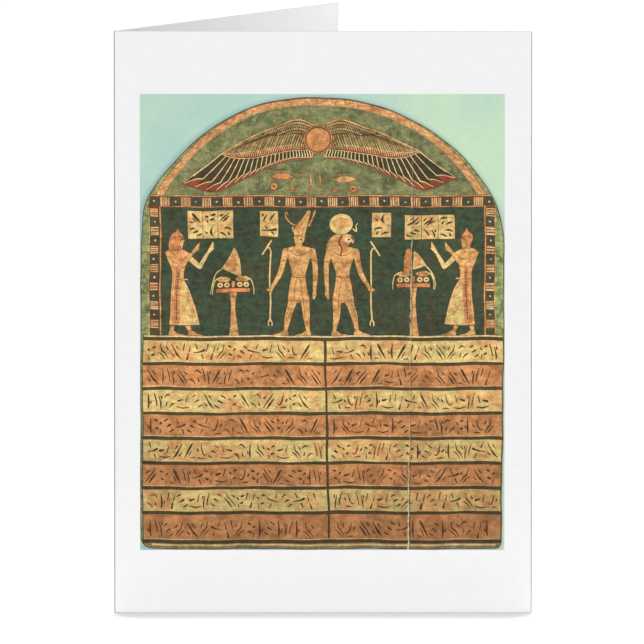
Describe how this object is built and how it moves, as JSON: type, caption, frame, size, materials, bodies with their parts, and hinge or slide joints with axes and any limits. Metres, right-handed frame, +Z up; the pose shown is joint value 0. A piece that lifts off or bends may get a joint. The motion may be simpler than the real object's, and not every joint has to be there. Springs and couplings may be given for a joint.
{
  "type": "folded greeting card",
  "caption": "Upright folded greeting card of white board with a printed picture on its front leaf, standing part open on its bottom edges.",
  "frame": {"origin": "middle of the standing card's box, on the surface that it stands on", "axes": "+Z up along the fold, -Y out of the front leaf's printed face, +X from the fold towards the front leaf's free edge"},
  "size_m": [0.127, 0.1074, 0.1778],
  "materials": {
    "printed_board": "matte",
    "plain_board": "matte"
  },
  "bodies": {
    "front": {"front_leaf": "printed_board"},
    "back": {"back_leaf": "plain_board"}
  },
  "joints": [
    {"name": "fold", "type": "hinge", "parent": "front", "child": "back", "pos_m": [-0.06295, -0.0532, 0.0889], "axis": [0, 0, 1], "range_deg": [-57.5, 122.5]}
  ]
}
